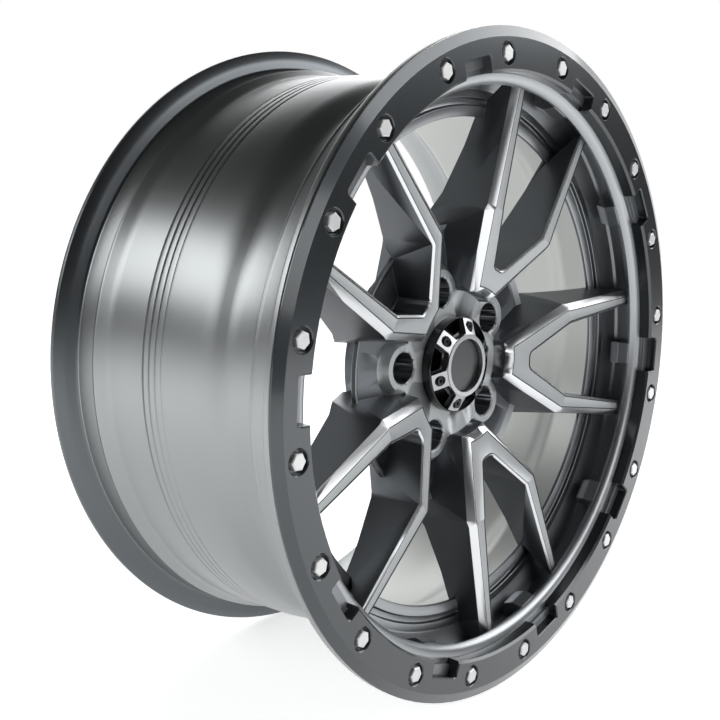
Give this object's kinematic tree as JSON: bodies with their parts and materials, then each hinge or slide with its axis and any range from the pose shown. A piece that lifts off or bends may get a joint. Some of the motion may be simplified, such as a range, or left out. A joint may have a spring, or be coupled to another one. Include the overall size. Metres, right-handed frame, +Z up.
{
  "type": "alloy wheel",
  "caption": "Cast alloy wheel with V spokes, a deep barrel and a black bolted bead ring at the front; it bolts to a vehicle's axle hub and carries a tyre.",
  "frame": {"origin": "middle of the wheel's overall width, on the axle line", "axes": "+Y along the axle towards the vehicle, so the styled face looks along -Y; +Z up; one V spoke points along +X"},
  "size_m": [0.5427, 0.2552, 0.5428],
  "materials": {
    "casting": "satin gunmetal",
    "ring": "satin black",
    "bolts": "bright",
    "cap_black": "gloss",
    "cap_silver": "satin silver",
    "cap_disc": "satin",
    "screws": "black oxide"
  },
  "bodies": {
    "root": {"wheel_casting": "casting", "bead_ring": "ring", "ring_bolts": "bolts", "cap_base": "cap_black", "cap_spider": "cap_silver", "cap_insert": "cap_disc", "cap_screws": "screws"}
  },
  "joints": []
}
